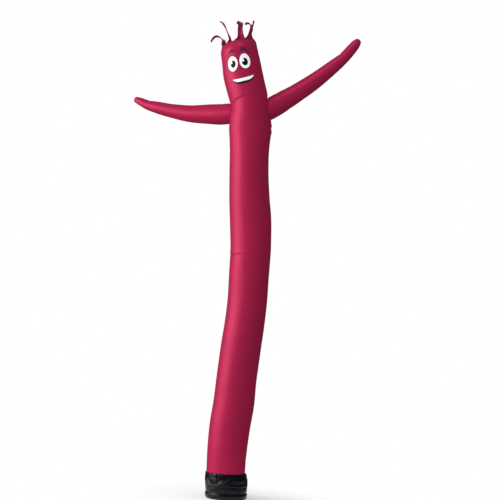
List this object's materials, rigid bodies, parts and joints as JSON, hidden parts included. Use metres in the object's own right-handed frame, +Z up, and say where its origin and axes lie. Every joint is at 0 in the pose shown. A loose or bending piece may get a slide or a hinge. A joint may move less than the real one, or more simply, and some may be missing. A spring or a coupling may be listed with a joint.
{
  "type": "inflatable air dancer on a blower outlet ring",
  "caption": "Tall inflated cloth tube figure with a smiling face, raised tapered arms and hair streamers, its black collar pulled over the outlet ring of a blower.",
  "frame": {"origin": "centre of the outlet ring's flat underside, where a blower holds it", "axes": "+Z up along the tube, the face looks along -Y, +X to the right of someone who looks at the face"},
  "size_m": [2.7096, 0.8386, 5.6365],
  "materials": {
    "red_cloth": "light nylon with a soft satin sheen",
    "streamer_cloth": "light nylon, creased",
    "collar_cloth": "glossy coated cloth",
    "ring_plastic": "moulded, slightly rough",
    "white_patch": "sewn-on patch",
    "black_patch": "sewn-on patch",
    "grey_patch": "sewn-on patch"
  },
  "bodies": {
    "root": {"arm_left": "red_cloth", "arm_right": "red_cloth", "base_collar": "collar_cloth", "brow_left": "grey_patch", "brow_right": "grey_patch", "eye_left": "white_patch", "eye_right": "white_patch", "lip_line": "grey_patch", "mouth": "white_patch", "outlet_ring": "ring_plastic", "pupil_left": "black_patch", "pupil_right": "black_patch", "streamer_1": "streamer_cloth", "streamer_2": "streamer_cloth", "streamer_3": "streamer_cloth", "streamer_4": "streamer_cloth", "streamer_5": "streamer_cloth", "streamer_6": "streamer_cloth", "streamer_7": "streamer_cloth", "tube_length_1": "red_cloth", "tube_length_2": "red_cloth", "tube_length_3": "red_cloth", "tube_length_4": "red_cloth"}
  },
  "joints": []
}
